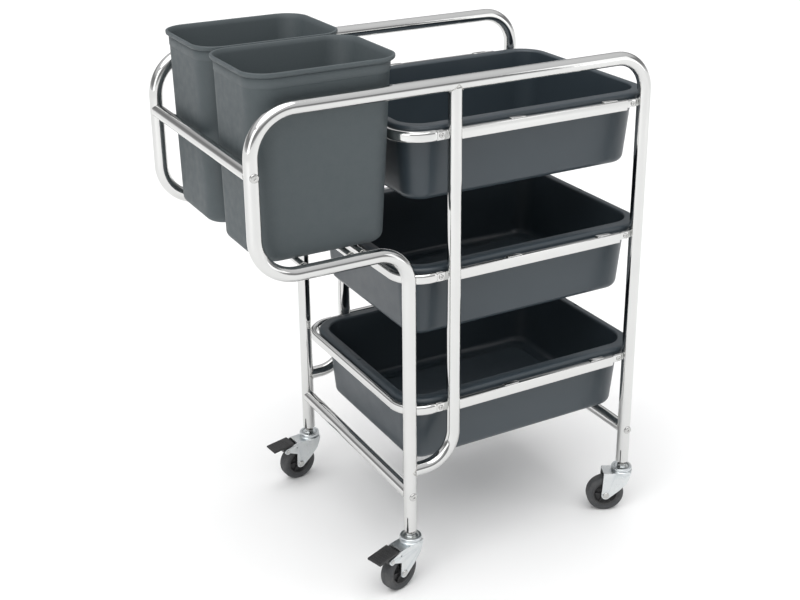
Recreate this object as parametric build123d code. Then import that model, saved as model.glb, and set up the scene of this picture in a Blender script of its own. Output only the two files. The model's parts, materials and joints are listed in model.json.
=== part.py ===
from build123d import *
import math
import os

# Rolling trolley: a chrome tube frame, three tubs, two bins and four swivel casters.
# Millimetres, +Z up, +X toward the tub end, -X toward the bins, origin on the floor in the middle.

# --- frame tube -------------------------------------------------------------------------
TUBE_R = 12.5          # outer radius of the bent frame tube
WALL = 1.2             # wall of every tube
HALF_W = 220.0         # middle plane of a side frame, to each side of the centre
X_LOOP = -398.0        # upright at the far end of the bin loop
X_LEG = -120.0         # leg under the bins
X_MID = -30.0          # middle post
X_END = 369.0          # leg at the tub end
Z_TOP = 943.0          # top rail
Z_SHELF = 665.0        # bottom rail of the bin loop
Z_FOOT = 110.0         # lower end of the legs
Z_GUARD = 843.0        # guard bar across the bin end
Z_CROSS = 184.0        # low bars between the legs
Z_HOOK = 233.0         # where the middle post runs back into the leg
BEND_END, BEND_LOOP_TOP, BEND_LOOP_LOW, BEND_LEG, BEND_HOOK = 65.0, 75.0, 72.0, 62.0, 60.0
SLIT_H, SLIT_W, SLIT_TURN = 28.0, 2.0, 216.0     # saw cut in the lower end of a leg
FOOT_CHAMFER = 0.6
BOLT_R, BOLT_HOLE_R = 3.0, 3.2                   # screws through the side frames into the bars
BOLT_HEAD_R, BOLT_HEAD_H, BOLT_DOME = 7.5, 2.8, 2.2   # the head sits saddle-wise on the tube
SOCKET_R, SOCKET_DEPTH = 2.2, 2.0
PLUG_LEN, BOLT_BITE = 18.0, 14.0                 # plug in a bar's end, screw thread in the plug
ROD_R = 6.0
ROD_X = (-310.0, -224.0, -201.0)
Z_ROD = 671.0

# --- tub carriers -----------------------------------------------------------------------
LEVELS = {"top": 856.0, "middle": 600.0, "bottom": 344.0}   # middle height of the rails
RAIL_H = 20.0
BAR_W = 10.0           # side bar, across
OVAL_W = 12.0          # end rail, across
RAIL_X = -124.0        # middle of the end rail
RAIL_HALF = 213.0      # middle of the end rail's arms
RAIL_BEND = 54.0
LUG_T = 2.5
CLIP_X = (96.0, 293.0)
CLIP_T, CLIP_LEN = 1.5, 30.0
CLIP_OUT, LEDGE_IN = -223.0, -199.0  # outer edge of a clip, inner edge of its ledge
ARM_END = -64.0        # where the arms of an end rail stop
LUG_Y = -217.0         # outer face of the welded lugs
RAIL_SCREW_X, BAR_SCREW_X = -54.0, 345.0
SCREW_R, SCREW_HOLE_R = 2.5, 2.6
SCREW_HEAD_R, SCREW_HEAD_H, SCREW_DOME = 4.6, 3.0, 1.8
NUT_R, NUT_H, SCREW_PROUD = 4.6, 3.6, 0.8
BAR_END, TONGUE_END = 330.0, 353.0
END_WALL = 2.0         # closed end of a rail or side bar

# --- tubs -------------------------------------------------------------------------------
TUB_X0, TUB_X1 = -117.0, 411.0
TUB_HALF = 206.0
TUB_H = 144.0
TUB_RISE = 15.0        # rim top above the middle of the rails
LIP_END, LIP_SIDE, LIP_DROP = 18.0, 24.0, 16.8
TUB_TAPER = 11.0
TUB_R = 60.0
TUB_WALL = 3.0
LIP_ROUND, LIP_SKIN = 6.0, 2.5       # rounding over the lip, thickness of its skirt
PANEL_INSET, PANEL_H = 34.0, 1.5     # raised panel in the floor
LIP_HOLE_R = 3.5

# --- bins -------------------------------------------------------------------------------
BIN_TOP, BIN_LOW = 997.0, 677.3
BIN_WALL = 2.4
BIN_RIM = (-388.5, -116.5, 3.0, 208.5, 47.0)     # x from, x to, y from, y to, corner: over the rim
BIN_NECK = (-383.0, -125.0, 8.0, 203.5, 43.0)    # under the flare of the rim
BIN_BASE = (-378.5, -142.0, 15.0, 194.5, 38.0)   # at the floor, before its edge is rounded
FLARE_H, RIM_H, RIM_ROUND, RIM_WIDTH = 9.0, 4.0, 1.4, 4.6
COLLAR_OUT, COLLAR_H, COLLAR_CHAMFER = 0.6, 26.0, 0.5

# --- casters ----------------------------------------------------------------------------
WHEEL_R, WHEEL_W = 37.5, 24.0
TRAIL = 32.0           # axle behind the swivel axis
FORK_TOP, SHEET = 88.0, 2.5
FORK_HALF = 16.5
HEAD_R = 21.0
PIN_R, PIN_GAP = 5.0, 0.05
AXLE_R, AXLE_GAP = 4.0, 0.08
PIVOT = (62.0, 75.5)   # brake pedal pivot: along the trail, height
PIVOT_R, PIVOT_GAP = 2.5, 0.06
LOBE_R = 6.5           # rounded end of the brake arm round its pivot
STEM_TOP = 150.0
SLEEVE_LOW = 112.0     # lower end of the sleeve in a leg
CASTERS = {            # leg x, leg y, turn about z, has a brake pedal
    "front_left": (X_LEG, -HALF_W, 16.0, True),
    "back_left": (X_LEG, HALF_W, 6.0, True),
    "front_right": (X_END, -HALF_W, -26.0, False),
    "back_right": (X_END, HALF_W, -26.0, False),
}

os.makedirs("parts", exist_ok=True)


def save(name, *shapes):
    """Writes one node: one solid, or a group of separate identical ones."""
    found = [solid for shape in shapes for solid in shape.solids()]
    export_step(found[0] if len(found) == 1 else Compound(children=found), f"parts/{name}.step")


def mirrored(shape):
    return mirror(shape, Plane.XZ)


def rod(start, end, radius):
    """A round bar between two points."""
    a, b = Vector(*start), Vector(*end)
    return Solid.make_cylinder(radius, (b - a).length, Plane(origin=a, z_dir=b - a))


def bent_line(points, radii):
    """Straight runs joined by quarter bends, as one wire."""
    points = [Vector(*p) for p in points]
    edges, start = [], points[0]
    for before, corner, after, radius in zip(points, points[1:], points[2:], radii):
        u, v = (before - corner).normalized(), (after - corner).normalized()
        first, last = corner + u * radius, corner + v * radius
        centre = corner + (u + v) * radius
        middle = centre - (u + v).normalized() * radius
        edges += [Edge.make_line(start, first), Edge.make_three_point_arc(first, middle, last)]
        start = last
    edges.append(Edge.make_line(start, points[-1]))
    return Wire(edges)


def swept(path, section):
    """A section drawn round the origin, swept along a wire."""
    begin = Plane(origin=path @ 0, x_dir=(0, 1, 0), z_dir=path % 0)
    return sweep(begin * section, path=path)


def side_path(y):
    return bent_line(
        [(X_END, y, Z_FOOT), (X_END, y, Z_TOP), (X_LOOP, y, Z_TOP), (X_LOOP, y, Z_SHELF),
         (X_LEG, y, Z_SHELF), (X_LEG, y, Z_FOOT)],
        [BEND_END, BEND_LOOP_TOP, BEND_LOOP_LOW, BEND_LEG])


# --- side frames ------------------------------------------------------------------------
front = side_path(-HALF_W)
side_outer = swept(front, Circle(TUBE_R))
side_frame = side_outer - swept(front, Circle(TUBE_R - WALL))
crossings = [(X_LOOP, Z_GUARD), (X_LEG, Z_CROSS), (X_END, Z_CROSS)]
for x, z in crossings:
    side_frame -= rod((x, -HALF_W - 20, z), (x, -HALF_W + 20, z), BOLT_HOLE_R)
for x in (X_LEG, X_END):
    slit = Box(TUBE_R * 2, SLIT_W, SLIT_H, align=(Align.MIN, Align.CENTER, Align.MIN))
    side_frame -= Pos(x, -HALF_W, Z_FOOT) * Rot(0, 0, SLIT_TURN) * slit
    foot = side_frame.edges().filter_by(GeomType.CIRCLE).filter_by(
        lambda e: abs(e.center().Z - Z_FOOT) < 0.01 and e.radius > TUBE_R - 0.1
        and abs(e.arc_center.X - x) < 1)
    side_frame = chamfer(foot, FOOT_CHAMFER)
save("side_frame_front", side_frame)
save("side_frame_back", mirrored(side_frame))

# --- middle posts, running down and back into the legs -------------------------------------
hook = bent_line([(X_MID, -HALF_W, Z_TOP), (X_MID, -HALF_W, Z_HOOK), (X_LEG, -HALF_W, Z_HOOK)],
                 [BEND_HOOK])
mid_post = swept(hook, Circle(TUBE_R)) - swept(hook, Circle(TUBE_R - WALL)) - side_outer
mid_post = mid_post.solids().sort_by(SortBy.VOLUME)[-1]
save("mid_post_front", mid_post)
save("mid_post_back", mirrored(mid_post))

# --- bars across, with a plug in each end for the screws ----------------------------------
both_sides = [side_outer, mirrored(side_outer)]
screws, plugs = [], []
for name, (x, z) in zip(("guard_bar", "cross_bar_bin_end", "cross_bar_tub_end"), crossings):
    bar = (rod((x, -HALF_W, z), (x, HALF_W, z), TUBE_R)
           - rod((x, -HALF_W, z), (x, HALF_W, z), TUBE_R - WALL))
    for side in both_sides:
        bar -= side
    save(name, bar.solids().sort_by(SortBy.VOLUME)[-1])
    inner, outer = HALF_W - TUBE_R, HALF_W + TUBE_R
    plug = (rod((x, -inner + 0.5, z), (x, -inner + PLUG_LEN, z), TUBE_R - WALL)
            - rod((x, -inner - 1, z), (x, -inner + PLUG_LEN + 2, z), BOLT_R))
    head = rod((x, -outer + BOLT_HEAD_R / 2, z), (x, -outer - BOLT_HEAD_H, z), BOLT_HEAD_R)
    head = fillet(head.edges().group_by(Axis.Y)[0], BOLT_DOME)
    head -= rod((x, -HALF_W, z - 20), (x, -HALF_W, z + 20), TUBE_R)
    socket = Plane(origin=(x, -outer - BOLT_HEAD_H - 0.6, z), z_dir=(0, 1, 0))
    screw = (head - extrude(socket * RegularPolygon(SOCKET_R, 6), SOCKET_DEPTH + 0.6)
             + rod((x, -outer, z), (x, -inner + BOLT_BITE, z), BOLT_R))
    plugs += [plug, mirrored(plug)]
    screws += [screw, mirrored(screw)]
save("bar_plugs", *plugs)
save("bar_screws", *screws)

# --- rods the bins stand on -----------------------------------------------------------------
rods = []
for x in ROD_X:
    one = rod((x, -HALF_W, Z_ROD), (x, HALF_W, Z_ROD), ROD_R)
    for side in both_sides:
        one -= side
    rods.append(one.solids().sort_by(SortBy.VOLUME)[-1])
save("bin_shelf_rods", *rods)

# --- tub carriers ---------------------------------------------------------------------------
post = rod((X_MID, -HALF_W, 250), (X_MID, -HALF_W, Z_TOP), TUBE_R)
leg = rod((X_END, -HALF_W, 250), (X_END, -HALF_W, 870), TUBE_R)


def plate(x0, x1, y0, y1, z0, z1):
    return Pos((x0 + x1) / 2, (y0 + y1) / 2, (z0 + z1) / 2) * Box(x1 - x0, y1 - y0, z1 - z0)


def through_hole(x, z, radius):
    return rod((x, -240, z), (x, -200, z), radius)


def rail_screw(x, z, y_head, y_nut):
    """A round-headed screw through a lug, with its nut."""
    head = rod((x, y_head, z), (x, y_head - SCREW_HEAD_H, z), SCREW_HEAD_R)
    head = fillet(head.edges().group_by(Axis.Y)[0], SCREW_DOME)
    nut = extrude(Plane(origin=(x, y_nut, z), z_dir=(0, 1, 0)) * RegularPolygon(NUT_R, 6), NUT_H)
    return head + rod((x, y_head, z), (x, y_nut + NUT_H + SCREW_PROUD, z), SCREW_R) + nut


lugs, rail_screws, clips = [], [], []
for level, z in LEVELS.items():
    low, high = z - RAIL_H / 2, z + RAIL_H / 2
    # the end rail: an oval tube bent round the tub, with a flat lug at each end
    path = bent_line([(ARM_END, -RAIL_HALF, z), (RAIL_X, -RAIL_HALF, z), (RAIL_X, RAIL_HALF, z),
                      (ARM_END, RAIL_HALF, z)], [RAIL_BEND, RAIL_BEND])
    rail = (swept(path, SlotOverall(RAIL_H, OVAL_W, rotation=90))
            - swept(path, SlotOverall(RAIL_H - 2 * WALL, OVAL_W - 2 * WALL, rotation=90)))
    cap = extrude(Plane(origin=(ARM_END - END_WALL, -RAIL_HALF, z), x_dir=(0, 1, 0), z_dir=(1, 0, 0))
                  * SlotOverall(RAIL_H, OVAL_W, rotation=90), END_WALL)
    end_lug = plate(ARM_END - 1, -46, -214.5, -211.5, low + 1, high - 1)
    end_lug = fillet(end_lug.edges().filter_by(Axis.Y).group_by(Axis.X)[-1], 6)
    end = cap + end_lug - through_hole(RAIL_SCREW_X, z, SCREW_HOLE_R)
    save(f"end_rail_{level}", rail + end + mirrored(end))
    # the side bar: a flat tube from the post to a narrower tongue at the leg
    bar = (plate(X_MID, BAR_END, -HALF_W - BAR_W / 2, -HALF_W + BAR_W / 2, low, high)
           - plate(X_MID, BAR_END - END_WALL, -HALF_W - BAR_W / 2 + WALL, -HALF_W + BAR_W / 2 - WALL,
                   low + WALL, high - WALL))
    tongue = plate(BAR_END - END_WALL, TONGUE_END, -HALF_W, LUG_Y, low + 3, high - 3)
    tongue = fillet(tongue.edges().filter_by(Axis.Y).group_by(Axis.X)[-1], 5)
    bar = bar + tongue - through_hole(BAR_SCREW_X, z, SCREW_HOLE_R) - post
    bar = bar.solids().sort_by(SortBy.VOLUME)[-1]
    save(f"side_bar_front_{level}", bar)
    save(f"side_bar_back_{level}", mirrored(bar))
    # welded lugs on the post and the leg, and the screws through them
    mid_lug = plate(-62, X_MID, LUG_Y, LUG_Y + LUG_T, low + 2, high - 2) - post
    end_lug = plate(336, X_END, LUG_Y, LUG_Y + LUG_T, low + 3, high - 3) - leg
    for lug, x in ((mid_lug, RAIL_SCREW_X), (end_lug, BAR_SCREW_X)):
        lug = lug.solids().sort_by(SortBy.VOLUME)[-1] - through_hole(x, z, SCREW_HOLE_R)
        lugs += [lug, mirrored(lug)]
    for screw in (rail_screw(RAIL_SCREW_X, z, LUG_Y, -211.5),
                  rail_screw(BAR_SCREW_X, z, -HALF_W, LUG_Y + LUG_T)):
        rail_screws += [screw, mirrored(screw)]
    # clips hooked over the side bars, with a ledge for the skirt of the tub
    inside = -HALF_W + BAR_W / 2
    ledge = z + TUB_RISE - LIP_DROP - 0.2
    for x in CLIP_X:
        x0, x1 = x - CLIP_LEN / 2, x + CLIP_LEN / 2
        clip = (plate(x0, x1, CLIP_OUT, inside + CLIP_T, high, high + CLIP_T)
                + plate(x0, x1, inside, inside + CLIP_T, ledge - CLIP_T, high + CLIP_T)
                + plate(x0, x1, inside, LEDGE_IN, ledge - CLIP_T, ledge))
        clips += [clip, mirrored(clip)]
save("rail_lugs", *lugs)
save("rail_screws", *rail_screws)
save("tub_clips", *clips)


# --- tubs and bins ------------------------------------------------------------------------
def pan(x0, x1, y0, y1, inset, corner, z):
    """A rounded outline, drawn in by inset on every side, at a height."""
    width, depth = x1 - x0 - 2 * inset, y1 - y0 - 2 * inset
    return Pos((x0 + x1) / 2, (y0 + y1) / 2, z) * RectangleRounded(width, depth, corner)


def tapered(x0, x1, y0, y1, inset_top, inset_low, r_top, r_low, z_top, z_low, edge):
    """A tapered body with a rounded lower edge."""
    body = loft([pan(x0, x1, y0, y1, inset_low, r_low, z_low),
                 pan(x0, x1, y0, y1, inset_top, r_top, z_top)], ruled=True)
    return fillet(body.edges().group_by(Axis.Z)[0], edge)


def inner_ring(edges):
    """Of the edges round the flat top of a rim, those round the opening."""
    x0, x1 = TUB_X0 + LIP_END, TUB_X1 - LIP_END
    half = TUB_HALF - LIP_SIDE
    return edges.filter_by(lambda e: x0 - 0.5 < e.center().X < x1 + 0.5
                           and abs(e.center().Y) < half + 0.5)


def tub(z_top):
    x0, x1 = TUB_X0 + LIP_END, TUB_X1 - LIP_END          # the opening
    half = TUB_HALF - LIP_SIDE
    r = TUB_R - 16
    z_low = z_top - TUB_H
    cavity = tapered(x0, x1, -half, half, 0, TUB_TAPER, r, r - 8, z_top + 0.01,
                     z_low + TUB_WALL, 12)
    shell = tapered(x0, x1, -half, half, -TUB_WALL, TUB_TAPER - TUB_WALL, r + TUB_WALL, r - 5,
                    z_top - 1, z_low, 15)
    block = extrude(pan(TUB_X0, TUB_X1, -TUB_HALF, TUB_HALF, 0, TUB_R, z_top - LIP_DROP), LIP_DROP)
    block = fillet(block.edges().group_by(Axis.Z)[-1], LIP_ROUND)
    under = extrude(pan(TUB_X0, TUB_X1, -TUB_HALF, TUB_HALF, LIP_SKIN, TUB_R - LIP_SKIN,
                        z_top - LIP_DROP), LIP_DROP - TUB_WALL)
    under = fillet(under.edges().group_by(Axis.Z)[-1], LIP_ROUND - LIP_SKIN)
    body = block - under + shell - cavity
    body = fillet(inner_ring(body.edges().group_by(Axis.Z)[-1]), 1.6)
    floor = extrude(pan(x0, x1, -half, half, TUB_TAPER + PANEL_INSET, 30, z_low + 1),
                    TUB_WALL + PANEL_H)
    floor = chamfer(floor.edges().group_by(Axis.Z)[-1], 1.4)
    body += floor
    for x in (TUB_X0 + LIP_END / 2, TUB_X1 - LIP_END / 2):
        body -= rod((x, 0, z_top - 8), (x, 0, z_top + 2), LIP_HOLE_R)
    return body


for level, z in LEVELS.items():
    save(f"tub_{level}", tub(z + TUB_RISE))


def bin_pan(size, inset, z):
    x0, x1, y0, y1, corner = size
    return pan(x0, x1, y0, y1, inset, corner - inset, z)


def bin_body():
    neck_z, rim_z = BIN_TOP - FLARE_H, BIN_TOP - RIM_H
    outer = loft([bin_pan(BIN_BASE, 0, BIN_LOW), bin_pan(BIN_NECK, 0, neck_z)], ruled=True)
    outer = fillet(outer.edges().group_by(Axis.Z)[0], 14)
    flare = loft([bin_pan(BIN_NECK, 0, neck_z), bin_pan(BIN_RIM, 0, rim_z)], ruled=True)
    rim = extrude(bin_pan(BIN_RIM, 0, rim_z), RIM_H)
    rim = fillet(rim.edges().group_by(Axis.Z)[-1], RIM_ROUND)
    collar = extrude(bin_pan(BIN_NECK, -COLLAR_OUT, BIN_TOP - COLLAR_H), COLLAR_H - FLARE_H + 0.5)
    collar = chamfer(collar.edges().group_by(Axis.Z)[0], COLLAR_CHAMFER)
    cavity = loft([bin_pan(BIN_BASE, BIN_WALL, BIN_LOW + BIN_WALL + 0.4),
                   bin_pan(BIN_NECK, BIN_WALL, neck_z)], ruled=True)
    cavity = fillet(cavity.edges().group_by(Axis.Z)[0], 12)
    mouth = loft([bin_pan(BIN_NECK, BIN_WALL, neck_z), bin_pan(BIN_RIM, RIM_WIDTH, BIN_TOP)],
                 ruled=True)
    return outer + collar + flare + rim - cavity - mouth


back_bin = bin_body()
save("bin_back", back_bin)
save("bin_front", mirrored(back_bin))


# --- casters: built round the swivel axis, trailing toward -X, then turned and moved -----------
def profile(points, y0, y1):
    """A side outline (along the trail, height) as a plate between two planes."""
    outline = Polyline(*[(-s, y0, z) for s, z in points], close=True)
    return extrude(make_face(outline), amount=y1 - y0, dir=(0, 1, 0))


def ring(points):
    """A shape turned round the swivel axis from its half outline (radius, height)."""
    return revolve(make_face(Polyline(*[(r, 0, z) for r, z in points], close=True)), Axis.Z)


def disc(s, z, radius, y0, y1):
    return rod((-s, y0, z), (-s, y1, z), radius)


def fork(brake):
    axle = (TRAIL, WHEEL_R)
    rear = [(-17, FORK_TOP), (-15, 78), (-9, 63), (6, 47), (TRAIL - 6.4, WHEEL_R - 6.4)]
    lead = [(TRAIL + 9, WHEEL_R + 1)]
    if brake:
        lead += [(40, 63), (57, 70.5), (65.5, 81), (38, FORK_TOP)]
    else:
        lead += [(TRAIL + 6, FORK_TOP)]
    cheek_out = profile(rear + lead, -FORK_HALF, -FORK_HALF + SHEET)
    cheek_out += disc(*axle, 9.05, -FORK_HALF, -FORK_HALF + SHEET)
    if brake:
        cheek_out += disc(*PIVOT, LOBE_R, -FORK_HALF, -FORK_HALF + SHEET)
        cheek_out -= disc(40, 78, 1.6, -FORK_HALF - 1, -FORK_HALF + SHEET + 1)
    both = cheek_out + mirrored(cheek_out)
    back = 38.0
    top = profile([(-17, FORK_TOP - SHEET), (back, FORK_TOP - SHEET), (back, FORK_TOP),
                   (-17, FORK_TOP)], -FORK_HALF, FORK_HALF)
    top = fillet(top.edges().filter_by(Axis.Z).group_by(Axis.X)[-1], 9)
    collar = ring([(0, FORK_TOP - SHEET), (HEAD_R, FORK_TOP - SHEET), (HEAD_R, FORK_TOP + 1.6),
                   (HEAD_R - 1.4, FORK_TOP + 3), (0, FORK_TOP + 3)])
    body = both + top + collar
    body -= rod((0, 0, 60), (0, 0, 120), PIN_R + PIN_GAP)
    body -= disc(*axle, AXLE_R, -30, 30)
    if brake:
        body -= disc(*PIVOT, PIVOT_R, -30, 30)
    return body


def stem():
    """King pin, hexagon and threaded stem in one piece, fixed to the leg."""
    body = ring([(0, 80.2), (8, 80.2), (8, 85.2), (PIN_R, 85.2), (PIN_R, STEM_TOP), (0, STEM_TOP)])
    return body + Pos(0, 0, 95.5) * extrude(RegularPolygon(9.4, 6), 8.5)


def race():
    """The pressed cap over the swivel balls, fixed to the stem."""
    return ring([(PIN_R, 91.3), (19.6, 91.3), (20.6, 92.6), (20.6, 95.5), (19, 98), (15.5, 98),
                 (13.5, 95.5), (PIN_R, 95.5)])


def axle():
    half = FORK_HALF
    pin = disc(TRAIL, WHEEL_R, AXLE_R, -half, half)
    for side in (-1, 1):
        head = disc(TRAIL, WHEEL_R, 6.4, side * half, side * (half + 2.6))
        head = chamfer(head.edges().group_by(Axis.Y)[0 if side < 0 else -1], 1.1)
        pin += head
    return pin


def wheel_ring(points):
    """Turned round the axle from (radius, across)."""
    face = make_face(Polyline(*[(-TRAIL, y, WHEEL_R + r) for r, y in points], close=True))
    return revolve(face, Axis((-TRAIL, 0, WHEEL_R), (0, 1, 0)))


def hub():
    bore = AXLE_R + AXLE_GAP
    return wheel_ring([(bore, -13.2), (8.5, -13.2), (9.5, -5), (20, -5), (22.5, -10.5), (25.5, -10.5),
                       (25.5, 10.5), (22.5, 10.5), (20, 5), (9.5, 5), (8.5, 13.2), (bore, 13.2)])


def tyre():
    half = WHEEL_W / 2
    ring_solid = wheel_ring([(25.5, -10.5), (29, -half), (WHEEL_R, -half), (WHEEL_R, half),
                             (29, half), (25.5, 10.5)])
    tread = ring_solid.edges().filter_by(
        lambda e: abs(abs(e.center().Y) - half) < 0.01 and e.bounding_box().size.Z > 74)
    return fillet(tread, 6)


def pedal():
    """Foot plate over the fork arms; the shoe under it swings down onto the tyre when pressed."""
    plate_top = profile([(47, 91.2), (94, 86.4), (95.5, 84.2), (94, 81.6), (70, 84.6), (47, 87.0)],
                        -FORK_HALF, FORK_HALF)
    inner = FORK_HALF - SHEET - 0.6
    shoe = profile([(50, 88), (72, 85.5), (70, 76), (65.5, 68), (59.6, 65.4), (55, 71.5),
                    (54.5, 78)], -inner, inner)
    return plate_top + shoe - disc(*PIVOT, PIVOT_R + PIVOT_GAP, -30, 30)


def pedal_pin():
    pin = disc(*PIVOT, PIVOT_R, -FORK_HALF, FORK_HALF)
    for side in (-1, 1):
        pin += disc(*PIVOT, 4.0, side * FORK_HALF, side * (FORK_HALF + 1.3))
    return pin


inserts = []
for name, (x, y, turn, brake) in CASTERS.items():
    place = Pos(x, y, 0) * Rot(0, 0, turn)
    pieces = {"stem": stem(), "race": race(), "fork": fork(brake), "axle": axle(),
              "hub": hub(), "tyre": tyre()}
    if brake:
        pieces |= {"pedal": pedal(), "pedal_pin": pedal_pin()}
    for piece, shape in pieces.items():
        save(f"caster_{name}_{piece}", place * shape)
    inserts.append(Pos(x, y, 0) * ring([
        (PIN_R, SLEEVE_LOW), (TUBE_R - WALL, SLEEVE_LOW), (TUBE_R - WALL, STEM_TOP),
        (PIN_R, STEM_TOP)]))
save("leg_inserts", *inserts)
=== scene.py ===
import json
import math

import bmesh
import bpy
from mathutils import Matrix, Vector


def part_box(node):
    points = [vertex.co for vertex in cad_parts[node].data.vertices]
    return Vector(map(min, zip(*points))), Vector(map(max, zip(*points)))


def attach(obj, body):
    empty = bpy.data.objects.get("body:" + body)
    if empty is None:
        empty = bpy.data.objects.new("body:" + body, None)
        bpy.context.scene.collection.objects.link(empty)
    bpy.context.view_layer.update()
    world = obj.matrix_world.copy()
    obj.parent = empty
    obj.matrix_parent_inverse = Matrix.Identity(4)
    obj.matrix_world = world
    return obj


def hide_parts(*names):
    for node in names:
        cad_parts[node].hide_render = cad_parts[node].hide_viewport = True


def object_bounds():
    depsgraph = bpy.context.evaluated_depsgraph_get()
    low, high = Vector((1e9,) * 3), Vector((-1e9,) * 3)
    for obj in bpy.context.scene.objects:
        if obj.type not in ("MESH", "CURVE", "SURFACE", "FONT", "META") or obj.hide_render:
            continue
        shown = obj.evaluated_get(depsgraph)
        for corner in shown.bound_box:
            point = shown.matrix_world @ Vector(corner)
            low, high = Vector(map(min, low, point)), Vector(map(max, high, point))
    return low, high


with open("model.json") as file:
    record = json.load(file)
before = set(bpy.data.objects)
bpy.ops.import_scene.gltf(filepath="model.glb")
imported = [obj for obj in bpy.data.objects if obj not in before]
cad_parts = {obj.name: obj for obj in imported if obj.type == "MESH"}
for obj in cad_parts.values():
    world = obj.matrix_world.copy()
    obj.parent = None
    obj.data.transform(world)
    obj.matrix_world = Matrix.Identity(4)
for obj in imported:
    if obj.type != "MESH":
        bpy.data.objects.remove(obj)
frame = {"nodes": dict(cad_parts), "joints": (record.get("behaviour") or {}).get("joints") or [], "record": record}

# Looks of the rolling trolley: chrome tube frame, three tubs, two bins, four swivel casters.
# Metres, in the row frame: +Z up, +X toward the tubs, -X toward the bins, origin on the floor.

MM = 0.001
CAD_LOW, CAD_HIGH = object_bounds()
JOINTS = {j["name"]: j for j in frame["joints"]}
NODES = frame["nodes"]
LEVELS = ("top", "middle", "bottom")
SIDES = {"front": -1, "back": 1}
CASTERS = {"front_left": True, "back_left": True, "front_right": False, "back_right": False}


def mid(node):
    low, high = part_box(node)
    return (low + high) / 2


# --- driving sizes, read from the frame ---------------------------------------------------
SIDE_LOW, SIDE_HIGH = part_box("side_frame_front")
TUBE_R = (SIDE_HIGH.y - SIDE_LOW.y) / 2
WALL = 1.2 * MM
HALF_W = -(SIDE_LOW.y + SIDE_HIGH.y) / 2
X_LOOP, X_END = SIDE_LOW.x + TUBE_R, SIDE_HIGH.x - TUBE_R
Z_FOOT, Z_TOP = SIDE_LOW.z, SIDE_HIGH.z - TUBE_R
X_LEG = JOINTS["swivel_front_left"]["pos_m"][0]
X_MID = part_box("mid_post_front")[1].x - TUBE_R
Z_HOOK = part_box("mid_post_front")[0].z + TUBE_R
Z_ROD = mid("bin_shelf_rods").z
ROD_R, ROD_GAP = 6 * MM, 23 * MM        # the two rods nearest the legs stand this far apart
Z_SHELF = Z_ROD - ROD_R
BEND_END, BEND_LOOP_TOP, BEND_LOOP_LOW, BEND_LEG, BEND_HOOK = (v * MM for v in (65, 75, 72, 62, 60))
SLIT_H, SLIT_HALF, SLIT_TURN = 28 * MM, 1.0 * MM, math.radians(216)


# --- shader helpers -----------------------------------------------------------------------
class Finish:
    """A procedural material on Object coordinates, with short ways to add its nodes."""

    def __init__(self, name):
        self.material = bpy.data.materials.new(name)
        self.material.use_nodes = True
        self.tree = self.material.node_tree
        self.shader = self.tree.nodes["Principled BSDF"]
        self.place = self.add("ShaderNodeTexCoord").outputs["Object"]

    def add(self, kind, **values):
        node = self.tree.nodes.new(kind)
        for key, value in values.items():
            setattr(node, key, value)
        return node

    def link(self, out, into):
        self.tree.links.new(out, into)

    def noise(self, scale, detail=3.0, rough=0.5, stretch=(1, 1, 1), distortion=0.0):
        mapping = self.add("ShaderNodeMapping")
        mapping.inputs["Scale"].default_value = stretch
        self.link(self.place, mapping.inputs["Vector"])
        node = self.add("ShaderNodeTexNoise")
        node.inputs["Scale"].default_value = scale
        node.inputs["Detail"].default_value = detail
        node.inputs["Roughness"].default_value = rough
        node.inputs["Distortion"].default_value = distortion
        self.link(mapping.outputs["Vector"], node.inputs["Vector"])
        return node.outputs["Fac"]

    def cells(self, scale, feature="F1", stretch=(1, 1, 1)):
        mapping = self.add("ShaderNodeMapping")
        mapping.inputs["Scale"].default_value = stretch
        self.link(self.place, mapping.inputs["Vector"])
        node = self.add("ShaderNodeTexVoronoi", feature=feature)
        node.inputs["Scale"].default_value = scale
        self.link(mapping.outputs["Vector"], node.inputs["Vector"])
        return node.outputs["Distance"]

    def band(self, source, low, high, to_low=0.0, to_high=1.0):
        node = self.add("ShaderNodeMapRange")
        for key, value in (("From Min", low), ("From Max", high), ("To Min", to_low), ("To Max", to_high)):
            node.inputs[key].default_value = value
        self.link(source, node.inputs["Value"])
        return node.outputs["Result"]

    def maths(self, operation, a, b):
        node = self.add("ShaderNodeMath", operation=operation)
        for socket, value in zip(node.inputs, (a, b)):
            if isinstance(value, (int, float)):
                socket.default_value = value
            else:
                self.link(value, socket)
        return node.outputs["Value"]

    def mix(self, factor, a, b):
        node = self.add("ShaderNodeMix", data_type="RGBA")
        self.link(factor, node.inputs["Factor"])
        for socket, value in ((node.inputs["A"], a), (node.inputs["B"], b)):
            if isinstance(value, tuple):
                socket.default_value = (*value, 1.0)
            else:
                self.link(value, socket)
        return node.outputs["Result"]

    def over(self, colour, mask, share, worn):
        """The worn colour laid over the other by a share of the mask."""
        return self.mix(self.maths("MULTIPLY", mask, share), colour, worn)

    def edges(self, low=0.51, high=0.60):
        """1 on sharp outer edges, where a finish wears first."""
        geometry = self.add("ShaderNodeNewGeometry")
        return self.band(geometry.outputs["Pointiness"], low, high)

    def height(self):
        split = self.add("ShaderNodeSeparateXYZ")
        self.link(self.place, split.inputs["Vector"])
        return split.outputs["Z"]

    def bump(self, source, depth, strength=1.0, under=None):
        node = self.add("ShaderNodeBump")
        node.inputs["Distance"].default_value = depth
        node.inputs["Strength"].default_value = strength
        self.link(source, node.inputs["Height"])
        if under is not None:
            self.link(under, node.inputs["Normal"])
        return node.outputs["Normal"]

    def set(self, **values):
        for key, value in values.items():
            socket = self.shader.inputs[key.replace("_", " ")]
            if isinstance(value, bpy.types.NodeSocket):
                self.link(value, socket)
            else:
                socket.default_value = value
        return self.material


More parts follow.
